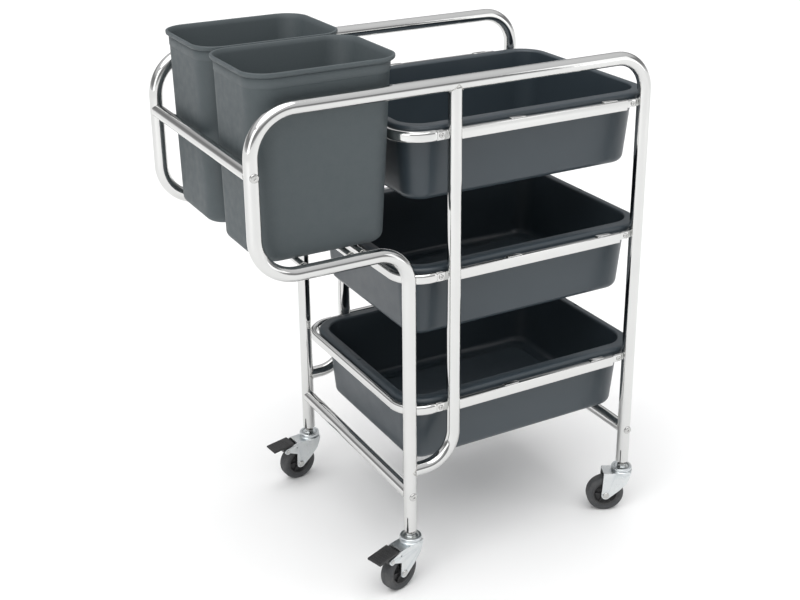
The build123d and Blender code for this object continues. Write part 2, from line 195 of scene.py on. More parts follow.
def chrome():
    f = Finish("polished_chrome")
    wave = f.noise(9, 2)
    smear = f.band(f.noise(34, 5, 0.62, (1, 1, 0.35)), 0.52, 0.75)
    specks = f.band(f.cells(260), 0.0, 0.10, 1.0, 0.0)
    colour = f.mix(wave, (0.60, 0.605, 0.60), (0.67, 0.67, 0.66))
    colour = f.over(colour, specks, 0.35, (0.44, 0.43, 0.41))
    rough = f.maths("ADD", f.band(smear, 0, 1, 0.055, 0.13), f.maths("MULTIPLY", specks, 0.10))
    ripple = f.bump(f.noise(60, 2, 0.4), 0.00012, 0.35)
    return f.set(Base_Color=colour, Metallic=1.0, Roughness=rough,
                 Normal=f.bump(specks, 0.00004, 0.3, ripple))


def zinc():
    f = Finish("zinc_plate")
    bloom = f.noise(70, 4, 0.6)
    tint = f.noise(26, 2)
    colour = f.mix(bloom, (0.52, 0.56, 0.58), (0.68, 0.71, 0.72))
    colour = f.over(colour, f.band(tint, 0.55, 0.8), 0.5, (0.66, 0.66, 0.58))
    colour = f.over(colour, f.edges(), 0.5, (0.80, 0.81, 0.81))
    rough = f.band(f.noise(160, 5, 0.65), 0.3, 0.7, 0.24, 0.42)
    grain = f.bump(f.noise(900, 3, 0.6), 0.00005, 0.5)
    return f.set(Base_Color=colour, Metallic=1.0, Roughness=rough, Normal=grain)


def bright_steel():
    f = Finish("plated_screw_steel")
    dull = f.noise(220, 4, 0.6)
    colour = f.mix(dull, (0.46, 0.46, 0.45), (0.58, 0.58, 0.57))
    colour = f.over(colour, f.edges(), 0.6, (0.72, 0.72, 0.71))
    return f.set(Base_Color=colour, Metallic=1.0, Roughness=f.band(dull, 0.3, 0.7, 0.14, 0.30),
                 Normal=f.bump(f.noise(700, 2), 0.00003, 0.4))


def weld_metal():
    f = Finish("plated_weld")
    burn = f.noise(300, 4, 0.6)
    colour = f.mix(burn, (0.40, 0.39, 0.37), (0.60, 0.60, 0.58))
    return f.set(Base_Color=colour, Metallic=1.0, Roughness=f.band(burn, 0.3, 0.7, 0.16, 0.34),
                 Normal=f.bump(f.noise(900, 3), 0.0001, 0.5))


def tub_plastic():
    f = Finish("tub_polypropylene")
    flow = f.noise(5, 4, 0.55, (0.4, 1, 1), 0.6)
    colour = f.mix(flow, (0.031, 0.043, 0.053), (0.040, 0.054, 0.065))
    scuffs = f.band(f.noise(48, 6, 0.7, (1, 1, 7)), 0.66, 0.78)
    colour = f.over(colour, scuffs, 0.35, (0.075, 0.092, 0.104))
    colour = f.over(colour, f.edges(0.505, 0.56), 0.4, (0.065, 0.082, 0.094))
    rough = f.maths("ADD", f.band(f.noise(26, 4), 0.3, 0.7, 0.30, 0.40), f.maths("MULTIPLY", scuffs, 0.14))
    skin = f.bump(f.noise(1500, 2, 0.5), 0.00005, 0.55)
    return f.set(Base_Color=colour, Roughness=rough, Specular_IOR_Level=0.5,
                 Normal=f.bump(f.noise(16, 2), 0.0008, 0.25, skin))


def bin_plastic():
    f = Finish("bin_polypropylene")
    flow = f.noise(4, 4, 0.6, (1, 1, 0.5), 0.4)
    colour = f.mix(flow, (0.047, 0.061, 0.067), (0.060, 0.076, 0.082))
    pits = f.cells(900)
    colour = f.mix(f.band(pits, 0.15, 0.7, 0.25, 0.0), colour, (0.090, 0.106, 0.112))
    rubbed = f.band(f.noise(30, 6, 0.72, (1, 1, 5)), 0.66, 0.80)
    colour = f.over(colour, rubbed, 0.3, (0.11, 0.125, 0.13))
    colour = f.over(colour, f.edges(0.505, 0.56), 0.5, (0.10, 0.118, 0.124))
    grain = f.bump(pits, 0.00018, 0.55)
    return f.set(Base_Color=colour, Roughness=f.band(f.noise(60, 4), 0.3, 0.7, 0.50, 0.62),
                 Normal=f.bump(f.noise(12, 2), 0.0008, 0.2, grain))


def black_nylon():
    f = Finish("black_nylon")
    mottle = f.noise(120, 4, 0.6)
    colour = f.mix(mottle, (0.010, 0.010, 0.011), (0.019, 0.019, 0.020))
    colour = f.over(colour, f.edges(), 0.5, (0.060, 0.060, 0.060))
    return f.set(Base_Color=colour, Roughness=f.band(mottle, 0.3, 0.7, 0.40, 0.55),
                 Normal=f.bump(f.noise(1400, 3), 0.00006, 0.6))


def tyre_rubber():
    f = Finish("grey_rubber")
    mottle = f.noise(90, 5, 0.65)
    colour = f.mix(mottle, (0.040, 0.042, 0.045), (0.062, 0.064, 0.067))
    dust = f.maths("MULTIPLY", f.band(f.noise(45, 5, 0.7), 0.45, 0.72), f.edges(0.50, 0.54))
    colour = f.over(colour, dust, 0.7, (0.16, 0.155, 0.145))
    return f.set(Base_Color=colour, Roughness=f.band(mottle, 0.3, 0.7, 0.62, 0.80),
                 Normal=f.bump(f.noise(800, 4, 0.6), 0.0001, 0.6))


CHROME, ZINC, STEEL, WELD = chrome(), zinc(), bright_steel(), weld_metal()
TUB_PLASTIC, BIN_PLASTIC, NYLON, RUBBER = tub_plastic(), bin_plastic(), black_nylon(), tyre_rubber()
BODY_OF = {node: body for body, nodes in frame["record"]["behaviour"]["bodies"].items() for node in nodes}


# --- mesh helpers ---------------------------------------------------------------------------
def in_scene(name, data):
    thing = bpy.data.objects.new(name, data)
    bpy.context.scene.collection.objects.link(thing)
    return thing


def plain_mesh(name, bm):
    mesh = bpy.data.meshes.new(name)
    bm.to_mesh(mesh)
    bm.free()
    return mesh


def worked_mesh(thing):
    """The plain mesh that an object's modifiers make."""
    bpy.context.view_layer.update()
    return bpy.data.meshes.new_from_object(thing.evaluated_get(bpy.context.evaluated_depsgraph_get()))


def finish_mesh(name, mesh, material, smooth_angle=35):
    """Puts a mesh in the scene as a finished piece with its material, smooth but for its edges."""
    mesh.materials.clear()
    mesh.materials.append(material)
    piece = in_scene(name, mesh)
    mesh.shade_smooth()
    bm = bmesh.new()
    bm.from_mesh(mesh)
    limit = math.radians(smooth_angle)
    for edge in bm.edges:
        edge.smooth = len(edge.link_faces) == 2 and edge.calc_face_angle(0) < limit
    bm.to_mesh(mesh)
    bm.free()
    return piece


def from_bmesh(name, bm, material, place=None, merge=1e-6, smooth_angle=35):
    bmesh.ops.remove_doubles(bm, verts=bm.verts, dist=merge)
    bmesh.ops.recalc_face_normals(bm, faces=bm.faces)
    if place is not None:
        bm.transform(place)
    return finish_mesh(name, plain_mesh(name, bm), material, smooth_angle)


def stands_for(piece, *nodes, slot=None):
    """The piece moves with the body of the nodes that it is shown for, and those nodes are hidden; the slot
    argument is not used.
    """
    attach(piece, BODY_OF[nodes[0]])
    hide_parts(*nodes)
    return piece


def skin(bm, rings, cap_first=True, cap_last=True, closed=False):
    """Faces between rings of equal count, with flat caps."""
    rows = [[bm.verts.new(p) for p in ring] for ring in rings]
    pairs = list(zip(rows, rows[1:])) + ([(rows[-1], rows[0])] if closed else [])
    for a, b in pairs:
        for i in range(len(a)):
            j = (i + 1) % len(a)
            bm.faces.new((a[i], a[j], b[j], b[i]))
    if not closed and cap_first:
        bm.faces.new(list(reversed(rows[0])))
    if not closed and cap_last:
        bm.faces.new(rows[-1])
    return rows


def rounded_ring(x0, x1, y0, y1, radius, z, steps=12, along=6):
    """A rounded rectangle at a height, with extra points along its straight sides."""
    corners = ((x1 - radius, y1 - radius), (x0 + radius, y1 - radius),
               (x0 + radius, y0 + radius), (x1 - radius, y0 + radius))
    points = []
    for quarter, (cx, cy) in enumerate(corners):
        for i in range(steps + 1):
            a = math.radians(90 * (quarter + i / steps))
            points.append(Vector((cx + radius * math.cos(a), cy + radius * math.sin(a), z)))
        nx, ny = corners[(quarter + 1) % 4]
        a = math.radians(90 * (quarter + 1))
        end = Vector((nx + radius * math.cos(a), ny + radius * math.sin(a), z))
        start = points[-1]
        points += [start.lerp(end, k / along) for k in range(1, along)]
    return points


def quarter_steps(count):
    return [math.radians(90 * k / count) for k in range(count + 1)]


def route(points, radii, per_bend=20):
    """Straight runs joined by round bends: the points of a tube's centre line and its directions."""
    points = [Vector(p) for p in points]
    line = [points[0]]
    for before, corner, after, radius in zip(points, points[1:], points[2:], radii):
        u, v = (before - corner).normalized(), (after - corner).normalized()
        centre = corner + (u + v) * radius
        for a in (math.radians(90 * k / per_bend) for k in range(per_bend + 1)):
            line.append(centre - v * radius * math.cos(a) - u * radius * math.sin(a))
    line.append(points[-1])
    return line


def tube_rings(line, outline, up):
    """The outline (across, up) carried along a flat route; up is the normal of the route's plane."""
    rings = []
    for i, point in enumerate(line):
        ahead = line[min(i + 1, len(line) - 1)] - line[max(i - 1, 0)]
        side = ahead.normalized().cross(up).normalized()
        rings.append([point + side * a + up * b for a, b in outline])
    return rings


def circle(radius, count=40, extra=()):
    angles = sorted([2 * math.pi * k / count for k in range(count)] + list(extra))
    return [(radius * math.cos(a), radius * math.sin(a)) for a in angles]


def stadium(width, height, count=14):
    """An upright slot shape: (across, up)."""
    r, straight = width / 2, (height - width) / 2
    top = [(r * math.cos(a), straight + r * math.sin(a))
           for a in (math.pi * k / count for k in range(count + 1))]
    return top + [(-a, -b) for a, b in top]


def bevelled(bm, width, segments=2, angle=30):
    """Rounds every edge sharper than the angle."""
    bmesh.ops.remove_doubles(bm, verts=bm.verts, dist=1e-6)
    bmesh.ops.dissolve_limit(bm, angle_limit=math.radians(0.5), verts=bm.verts, edges=bm.edges)
    sharp = [e for e in bm.edges if len(e.link_faces) == 2 and e.calc_face_angle(0) > math.radians(angle)]
    bmesh.ops.bevel(bm, geom=sharp, offset=width, segments=segments, affect="EDGES", profile=0.5,
                    clamp_overlap=True)


def refined(node, name, material, bevel, smooth_angle=35, segments=2):
    """A copy of a CAD node with its edges broken, shown in its place."""
    bm = bmesh.new()
    bm.from_mesh(NODES[node].data)
    bevelled(bm, bevel, segments)
    piece = from_bmesh(name, bm, material, smooth_angle=smooth_angle)
    even = piece.modifiers.new("even_faces", "WEIGHTED_NORMAL")
    even.keep_sharp = True
    shaded = worked_mesh(piece)
    piece.modifiers.clear()
    piece.data = shaded
    shaded.name = name
    return stands_for(piece, node)


# --- Geometry Nodes: fittings set out on points, weld beads along joints ----------------------
def new_tree(name, inputs):
    """A Geometry Nodes tree with named inputs: (name, socket type, default)."""
    tree = bpy.data.node_groups.new(name, "GeometryNodeTree")
    tree.interface.new_socket("Geometry", in_out="INPUT", socket_type="NodeSocketGeometry")
    for label, kind, default in inputs:
        socket = tree.interface.new_socket(label, in_out="INPUT", socket_type=kind)
        if default is not None:
            socket.default_value = default
    tree.interface.new_socket("Geometry", in_out="OUTPUT", socket_type="NodeSocketGeometry")
    return tree, tree.nodes.new("NodeGroupInput"), tree.nodes.new("NodeGroupOutput")


def end_tree(tree, start, geometry, finish):
    """Realize Instances, Set Material, output."""
    realize = tree.nodes.new("GeometryNodeRealizeInstances")
    paint = tree.nodes.new("GeometryNodeSetMaterial")
    tree.links.new(geometry, realize.inputs["Geometry"])
    tree.links.new(realize.outputs["Geometry"], paint.inputs["Geometry"])
    tree.links.new(start.outputs["Material"], paint.inputs["Material"])
    tree.links.new(paint.outputs["Geometry"], finish.inputs["Geometry"])


def fittings_tree():
    """A fitting on every point, turned by the point's own turn."""
    tree, start, finish = new_tree("fittings_on_points", [
        ("Fitting", "NodeSocketObject", None), ("Size", "NodeSocketFloat", 1.0),
        ("Material", "NodeSocketMaterial", None)])
    info = tree.nodes.new("GeometryNodeObjectInfo")
    turn = tree.nodes.new("GeometryNodeInputNamedAttribute")
    turn.data_type = "FLOAT_VECTOR"
    turn.inputs["Name"].default_value = "turn"
    points = tree.nodes.new("GeometryNodeMeshToPoints")
    place = tree.nodes.new("GeometryNodeInstanceOnPoints")
    euler = tree.nodes.new("FunctionNodeEulerToRotation")
    tree.links.new(start.outputs["Geometry"], points.inputs["Mesh"])
    tree.links.new(points.outputs["Points"], place.inputs["Points"])
    tree.links.new(start.outputs["Fitting"], info.inputs["Object"])
    tree.links.new(info.outputs["Geometry"], place.inputs["Instance"])
    tree.links.new(turn.outputs["Attribute"], euler.inputs["Euler"])
    tree.links.new(euler.outputs["Rotation"], place.inputs["Rotation"])
    tree.links.new(start.outputs["Size"], place.inputs["Scale"])
    end_tree(tree, start, place.outputs["Instances"], finish)
    return tree


def weld_tree():
    """Overlapping drops of metal along a closed line, each a little different."""
    tree, start, finish = new_tree("weld_bead", [
        ("Drop Radius", "NodeSocketFloat", 1.6 * MM), ("Spacing", "NodeSocketFloat", 1.5 * MM),
        ("Unevenness", "NodeSocketFloat", 0.2), ("Seed", "NodeSocketInt", 7),
        ("Material", "NodeSocketMaterial", None)])
    curve = tree.nodes.new("GeometryNodeMeshToCurve")
    spread = tree.nodes.new("GeometryNodeCurveToPoints")
    spread.mode = "LENGTH"
    drop = tree.nodes.new("GeometryNodeMeshIcoSphere")
    drop.inputs["Subdivisions"].default_value = 2
    size = tree.nodes.new("FunctionNodeRandomValue")
    low = tree.nodes.new("ShaderNodeMath")
    low.operation = "SUBTRACT"
    low.inputs[0].default_value = 1.0
    high = tree.nodes.new("ShaderNodeMath")
    high.operation = "ADD"
    high.inputs[0].default_value = 1.0
    place = tree.nodes.new("GeometryNodeInstanceOnPoints")
    tree.links.new(start.outputs["Geometry"], curve.inputs["Mesh"])
    tree.links.new(curve.outputs["Curve"], spread.inputs["Curve"])
    tree.links.new(start.outputs["Spacing"], spread.inputs["Length"])
    tree.links.new(start.outputs["Drop Radius"], drop.inputs["Radius"])
    tree.links.new(start.outputs["Unevenness"], low.inputs[1])
    tree.links.new(start.outputs["Unevenness"], high.inputs[1])
    tree.links.new(low.outputs["Value"], size.inputs[2])
    tree.links.new(high.outputs["Value"], size.inputs[3])
    tree.links.new(start.outputs["Seed"], size.inputs["Seed"])
    tree.links.new(spread.outputs["Points"], place.inputs["Points"])
    tree.links.new(drop.outputs["Mesh"], place.inputs["Instance"])
    tree.links.new(size.outputs[1], place.inputs["Scale"])
    end_tree(tree, start, place.outputs["Instances"], finish)
    return tree


def run_tree(name, tree, mesh, values, material, smooth_angle=35):
    """Runs a tree on a mesh and gives the plain mesh that comes out, as a piece."""
    seed_object = in_scene(name + "_seed", mesh)
    modifier = seed_object.modifiers.new("nodes", "NODES")
    modifier.node_group = tree
    for item in tree.interface.items_tree:
        if item.in_out == "INPUT" and item.name in values:
            modifier[item.identifier] = values[item.name]
    made = worked_mesh(seed_object)
    bpy.data.objects.remove(seed_object)
    made.name = name
    return finish_mesh(name, made, material, smooth_angle)


FITTINGS, WELDS = fittings_tree(), weld_tree()


def set_out(name, fitting, places, material, smooth_angle=35):
    """One mesh with a copy of the fitting at each (position, turn about x, y, z)."""
    mesh = bpy.data.meshes.new(name + "_points")
    mesh.from_pydata([p for p, _ in places], [], [])
    turn = mesh.attributes.new("turn", "FLOAT_VECTOR", "POINT")
    for item, (_, angles) in zip(turn.data, places):
        item.vector = angles
    made = run_tree(name, FITTINGS, mesh, {"Fitting": fitting, "Size": 1.0, "Material": material},
                    material, smooth_angle)
    bpy.data.objects.remove(fitting)
    return made


def weld_piece(name, loops, drop=1.5 * MM):
    """Beads along closed loops of points."""
    verts, edges = [], []
    for loop in loops:
        first = len(verts)
        verts += loop
        edges += [(first + i, first + (i + 1) % len(loop)) for i in range(len(loop))]
    mesh = bpy.data.meshes.new(name + "_lines")
    mesh.from_pydata(verts, edges, [])
    piece = run_tree(name, WELDS, mesh, {"Drop Radius": drop, "Spacing": drop, "Seed": 7,
                                         "Unevenness": 0.2, "Material": WELD}, WELD, 60)
    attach(piece, "frame")
    return piece


# --- chrome frame -------------------------------------------------------------------------------
def side_frame(side):
    y = SIDES[side] * HALF_W
    line = route([(X_END, y, Z_FOOT), (X_END, y, Z_TOP), (X_LOOP, y, Z_TOP), (X_LOOP, y, Z_SHELF),
                  (X_LEG, y, Z_SHELF), (X_LEG, y, Z_FOOT)],
                 [BEND_END, BEND_LOOP_TOP, BEND_LOOP_LOW, BEND_LEG])
    up = Vector((0, 1, 0))
    half = SLIT_HALF / TUBE_R
    # the cut faces the same way on both of a frame's legs, mirrored on the other side frame
    turn = SLIT_TURN * -SIDES[side]
    cut = Vector((math.cos(turn), math.sin(turn), 0))
    for end in (0, -1):
        inward = line[1 if end == 0 else -2] - line[end]
        line.insert(1 if end == 0 else len(line) - 1, line[end] + inward.normalized() * SLIT_H)
        line.insert(1 if end == 0 else len(line) - 1, line[end] + inward.normalized() * 0.6 * MM)
    ahead = (line[1] - line[0]).normalized()
    across = ahead.cross(up).normalized()
    here = math.atan2(cut.dot(up), cut.dot(across)) % (2 * math.pi)
    there = math.atan2(cut.dot(up), -cut.dot(across)) % (2 * math.pi)
    extra = [here - half, here + half, there - half, there + half]
    angles = sorted([2 * math.pi * k / 44 for k in range(44)] + extra)
    angles = [a for a in angles
              if a in extra or min(abs(a - e) for e in extra) > 0.02]
    bm = bmesh.new()

    def wall(radius, ends):
        outline = [(radius * math.cos(a), radius * math.sin(a)) for a in angles]
        rings = tube_rings(line, outline, up)
        for index in (0, -1):
            centre = line[index]
            rings[index] = [centre + (p - centre) * ends for p in rings[index]]
        return [[bm.verts.new(p) for p in ring] for ring in rings]

    outer = wall(TUBE_R, 1 - 0.6 * MM / TUBE_R)
    inner = wall(TUBE_R - WALL, 1.0)
    n = len(angles)

    def is_cut(row, i):
        """Whether the strip from angle i on is inside a saw cut between this ring and the next."""
        middle = (angles[i] + angles[(i + 1) % n] + (2 * math.pi if i == n - 1 else 0)) / 2
        if row < 2:
            return abs(middle - here) < half
        return row >= len(line) - 3 and abs(middle - there) < half

    for row in range(len(line) - 1):
        for i in range(n):
            j = (i + 1) % n
            if is_cut(row, i):
                continue
            bm.faces.new((outer[row][i], outer[row][j], outer[row + 1][j], outer[row + 1][i]))
            bm.faces.new((inner[row][j], inner[row][i], inner[row + 1][i], inner[row + 1][j]))
            for k, neighbour in ((i, (i - 1) % n), (j, (i + 1) % n)):
                if is_cut(row, neighbour):
                    bm.faces.new((outer[row][k], outer[row + 1][k], inner[row + 1][k], inner[row][k]))
    for row, step in ((0, 0), (len(line) - 1, -1)):
        for i in range(n):
            j = (i + 1) % n
            if not is_cut(row + step, i):
                bm.faces.new((outer[row][i], outer[row][j], inner[row][j], inner[row][i]))
    for row, step in ((2, -1), (len(line) - 3, 0)):
        for i in range(n):
            j = (i + 1) % n
            if is_cut(row + step, i):
                bm.faces.new((outer[row][i], outer[row][j], inner[row][j], inner[row][i]))
    piece = from_bmesh(f"side_frame_{side}_tube", bm, CHROME)
    return stands_for(piece, f"side_frame_{side}")


def solid_tube(name, node, line, outline, up, material=CHROME):
    bm = bmesh.new()
    skin(bm, tube_rings(line, outline, up))
    return stands_for(from_bmesh(name, bm, material), node)


def mid_post(side):
    y = SIDES[side] * HALF_W
    line = route([(X_MID, y, Z_TOP - TUBE_R / 2), (X_MID, y, Z_HOOK), (X_LEG + TUBE_R / 2, y, Z_HOOK)],
                 [BEND_HOOK])
    return solid_tube(f"mid_post_{side}_tube", f"mid_post_{side}", line, circle(TUBE_R), Vector((0, 1, 0)))


def cross_bar(node):
    centre = mid(node)
    reach = HALF_W - TUBE_R / 2
    line = [Vector((centre.x, y, centre.z)) for y in (-reach, reach)]
    return solid_tube(f"{node}_tube", node, line, circle(TUBE_R), Vector((0, 0, 1)))


def shelf_rods():
    low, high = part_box("bin_shelf_rods")
    first, last = low.x + ROD_R, high.x - ROD_R
    rods = bmesh.new()
    reach = HALF_W - TUBE_R / 2
    for x in (first, last - ROD_GAP, last):
        line = [Vector((x, y, Z_ROD)) for y in (-reach, reach)]
        skin(rods, tube_rings(line, circle(ROD_R, 28), Vector((0, 0, 1))))
    return stands_for(from_bmesh("bin_shelf_rods_round", rods, CHROME), "bin_shelf_rods")


for side in SIDES:
    side_frame(side)
    mid_post(side)
for bar in ("guard_bar", "cross_bar_bin_end", "cross_bar_tub_end"):
    cross_bar(bar)
shelf_rods()


# --- tub carriers --------------------------------------------------------------------------------
RAIL_H, OVAL_W, RAIL_BEND = 20 * MM, 12 * MM, 54 * MM
LUG_T, LUG_Y, SHEET_EDGE = 2.5 * MM, 217 * MM, 0.35 * MM       # LUG_Y: a lug's outer face
RAIL_SCREW_X, BAR_SCREW_X = -54 * MM, 345 * MM
ARM_END, BAR_END = -64 * MM, 330 * MM       # where an end rail's arms and a side bar's tube stop
CLIP_X = (96 * MM, 293 * MM)


def slab(bm, x0, x1, y0, y1, z0, z1, corner=0.0, corner_end=0, steps=6):
    """A plate lying in X and Z; corner rounds its edges at the +X end (1), at the -X end (-1) or none."""
    outline = []
    for x, z, toward, start in ((x1, z1, 1, 0), (x0, z1, -1, 90), (x0, z0, -1, 180), (x1, z0, 1, 270)):
        if corner and corner_end == toward:
            cx, cz = x - toward * corner, z - (corner if start in (0, 90) else -corner)
            outline += [(cx + corner * math.cos(math.radians(start + 90 * k / steps)),
                         cz + corner * math.sin(math.radians(start + 90 * k / steps)))
                        for k in range(steps + 1)]
        else:
            outline.append((x, z))
    skin(bm, [[Vector((x, y, z)) for x, z in outline] for y in (y0, y1)])


def mirror_side(bm):
    """Adds the same shape on the other side of the middle."""
    twin = bmesh.ops.duplicate(bm, geom=bm.verts[:] + bm.edges[:] + bm.faces[:])
    verts = [g for g in twin["geom"] if isinstance(g, bmesh.types.BMVert)]
    for v in verts:
        v.co.y = -v.co.y


def end_rail(level):
    node = f"end_rail_{level}"
    low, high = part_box(node)
    z = (low.z + high.z) / 2
    x, half = low.x + OVAL_W / 2, high.y - OVAL_W / 2
    line = route([(ARM_END, -half, z), (x, -half, z), (x, half, z), (ARM_END, half, z)],
                 [RAIL_BEND] * 2, 22)
    bm = bmesh.new()
    rings = tube_rings(line, stadium(OVAL_W, RAIL_H), Vector((0, 0, 1)))
    for index, inward in ((0, 1), (-1, -2)):
        centre, toward = line[index], (line[index] - line[inward]).normalized()
        rounded = [[centre + (p - centre) * s + toward * t for p in rings[index]]
                   for s, t in ((0.96, 0.7 * MM), (0.84, 1.1 * MM))]
        if index == 0:
            rings = list(reversed(rounded)) + rings
        else:
            rings += rounded
    skin(bm, rings)
    lug = bmesh.new()
    slab(lug, ARM_END - 1 * MM, -46 * MM, -214.5 * MM, -211.5 * MM, z - 9 * MM, z + 9 * MM, 6 * MM, 1)
    bevelled(lug, SHEET_EDGE)
    mirror_side(lug)
    bm.from_mesh(plain_mesh("plates", lug))
    return stands_for(from_bmesh(f"{node}_oval", bm, CHROME), node)


def side_bar(side, level):
    node = f"side_bar_{side}_{level}"
    low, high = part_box(node)
    z, sign = (low.z + high.z) / 2, SIDES[side]
    half_w, half_h, corner = 5 * MM, RAIL_H / 2, 1.6 * MM
    section = []
    for quarter, (a, b) in enumerate(((1, 1), (-1, 1), (-1, -1), (1, -1))):
        for angle in (math.radians(90 * (quarter + k / 4)) for k in range(5)):
            section.append((a * (half_w - corner) + corner * math.cos(angle),
                            b * (half_h - corner) + corner * math.sin(angle)))
    y = sign * HALF_W
    rings = []
    for x, shrink in ((X_MID, 0), (BAR_END - 1.2 * MM, 0), (BAR_END - 0.35 * MM, 0.35 * MM),
                      (BAR_END, 1.2 * MM)):
        rings.append([Vector((x, y + a * (1 - shrink / half_w), z + b * (1 - shrink / half_h)))
                      for a, b in section])
    bm = bmesh.new()
    skin(bm, rings)
    tongue = bmesh.new()
    slab(tongue, BAR_END - 2 * MM, 353 * MM, -220 * MM, -217 * MM, z - 7 * MM, z + 7 * MM, 5 * MM, 1)
    bevelled(tongue, SHEET_EDGE)
    plate = plain_mesh("plate", tongue)
    if sign > 0:
        plate.transform(Matrix.Scale(-1, 4, (0, 1, 0)))
    bm.from_mesh(plate)
    return stands_for(from_bmesh(f"{node}_tube", bm, CHROME), node)


def round_outline(points, radii, steps=6):
    """A closed outline (a, b) whose corners are rounded by the given radii."""
    made = []
    count = len(points)
    for i, ((px, py), radius) in enumerate(zip(points, radii)):
        here = Vector((px, py))
        before = (Vector(points[i - 1]) - here).normalized()
        after = (Vector(points[(i + 1) % count]) - here).normalized()
        if radius <= 0:
            made.append(here)
            continue
        turn = before.angle(after)
        cut = radius / math.tan(turn / 2)
        centre = here + (before + after).normalized() * radius / math.sin(turn / 2)
        start, stop = here + before * cut - centre, here + after * cut - centre
        sweep = start.angle_signed(stop)
        made += [centre + Matrix.Rotation(-sweep * k / steps, 2) @ start for k in range(steps + 1)]
    return made


def sheet_metal(bm, outline, x0, x1):
    """A bent sheet: an outline (y, z) drawn out along x."""
    skin(bm, [[Vector((x, a, b)) for a, b in outline] for x in (x0, x1)])


def clip_fitting():
    """A clip hooked over a side bar at the origin, for the front side; its ledge points to +Y."""
    t, half = 1.5 * MM, 15 * MM
    inside, out, ledge_in = 5 * MM, -3 * MM, 21 * MM
    top, drop = RAIL_H / 2, -2 * MM
    outline = [(out, top), (inside, top), (inside, drop - t), (ledge_in, drop - t), (ledge_in, drop),
               (inside + t, drop), (inside + t, top + t), (out, top + t)]
    bm = bmesh.new()
    sheet_metal(bm, round_outline(outline, [0.3 * MM, 0, 1.6 * MM, 0.4 * MM, 0.4 * MM, 0.6 * MM,
                                            1.8 * MM, 0.5 * MM]), -half, half)
    bevelled(bm, 0.25 * MM, 2, 50)
    return from_bmesh("clip_fitting", bm, CHROME)


def domed_screw(name, head_r, head_h, socket_r, shank_r, shank_length, nut=None, skirt=0.0):
    """A round-headed socket screw along +Y, its dome to -Y; the skirt carries its rim past y = 0."""
    bm = bmesh.new()
    count, steps = 36, 7
    rings = [[Vector((shank_r * math.cos(a), shank_length, shank_r * math.sin(a)))
              for a in (2 * math.pi * k / count for k in range(count))]]
    profile = [(shank_r, skirt), (head_r - 0.3 * MM, skirt), (head_r, skirt - 0.3 * MM), (head_r, -0.8 * MM)]
    for a in quarter_steps(steps)[1:]:
        reach = socket_r + 0.7 * MM + (head_r - socket_r - 0.7 * MM) * math.cos(a)
        profile.append((reach, -0.8 * MM - (head_h - 0.8 * MM) * math.sin(a)))
    for radius, y in profile:
        rings.append([Vector((radius * math.cos(a), y, radius * math.sin(a)))
                      for a in (2 * math.pi * k / count for k in range(count))])

    def hexagon(radius, y):
        points = []
        for k in range(count):
            a = 2 * math.pi * k / count
            within = (a + math.pi / 6) % (math.pi / 3) - math.pi / 6
            reach = radius * math.cos(math.pi / 6) / math.cos(within)
            points.append(Vector((reach * math.cos(a), y, reach * math.sin(a))))
        return points

    rings += [hexagon(socket_r + 0.3 * MM, -head_h), hexagon(socket_r, -head_h + 0.3 * MM),
              hexagon(socket_r, -head_h + 2.0 * MM), hexagon(socket_r * 0.3, -head_h + 2.4 * MM)]
    skin(bm, rings)
    if nut:
        nut_y, nut_r, nut_h = nut
        faces = [(nut_r - 0.5 * MM, nut_y), (nut_r, nut_y + 0.4 * MM), (nut_r, nut_y + nut_h - 0.4 * MM),
                 (nut_r - 0.5 * MM, nut_y + nut_h)]
        skin(bm, [[Vector((r * math.cos(math.pi * k / 3), y, r * math.sin(math.pi * k / 3)))
                   for k in range(6)] for r, y in faces])
    return from_bmesh(name, bm, STEEL, smooth_angle=28)


def carriers():
    for level in LEVELS:
        end_rail(level)
        for side in SIDES:
            side_bar(side, level)
    heights = [mid(f"end_rail_{level}").z for level in LEVELS]

    def both_sides(x, y, z):
        """A fitting on the front side, and the same turned half round on the back side."""
        return [((x, -y, z), (0, 0, 0)), ((x, y, z), (0, 0, math.pi))]

    places = [place for z in heights for x in CLIP_X for place in both_sides(x, HALF_W, z)]
    stands_for(set_out("tub_clips_bent", clip_fitting(), places, CHROME), "tub_clips")

    def lug(name, reach, half_h):
        """A welded lug at the origin: its outer face at y = 0, drawn out to +X."""
        bm = bmesh.new()
        slab(bm, 0, reach, 0, LUG_T, -half_h, half_h, 4 * MM, 1)
        bevelled(bm, SHEET_EDGE)
        return from_bmesh(name, bm, CHROME)

    # both the lug beside the middle post and the one beside the leg point to -X
    mid_lug, end_lug = lug("mid_lug", 32 * MM, 8 * MM), lug("end_lug", 33 * MM, 7 * MM)
    lugs = []
    for fitting, x, name in ((mid_lug, X_MID, "rail_lugs_mid"), (end_lug, X_END, "rail_lugs_end")):
        places = [((x, sign * LUG_Y, z), flip_x_for(sign)) for sign in (-1, 1) for z in heights]
        lugs.append(set_out(name, fitting, places, CHROME))
    stands_for(join(lugs, "rail_lugs_welded", CHROME), "rail_lugs")

    rail = domed_screw("rail_screw", 4.6 * MM, 3.0 * MM, 1.6 * MM, 2.5 * MM, 9.9 * MM,
                       (5.5 * MM, 4.6 * MM, 3.6 * MM))
    places = [place for z in heights for place in both_sides(RAIL_SCREW_X, LUG_Y, z)]
    places += [place for z in heights for place in both_sides(BAR_SCREW_X, HALF_W, z)]
    stands_for(set_out("rail_screws_domed", rail, places, STEEL, 28), "rail_screws")

    bolt = domed_screw("bar_screw", 7.5 * MM, 2.8 * MM, 2.4 * MM, 3.0 * MM, 39 * MM, skirt=3.4 * MM)
    bars = ("guard_bar", "cross_bar_bin_end", "cross_bar_tub_end")
    places = [place for bar in bars for place in both_sides(mid(bar).x, HALF_W + TUBE_R, mid(bar).z)]
    stands_for(set_out("bar_screws_domed", bolt, places, STEEL, 28), "bar_screws")


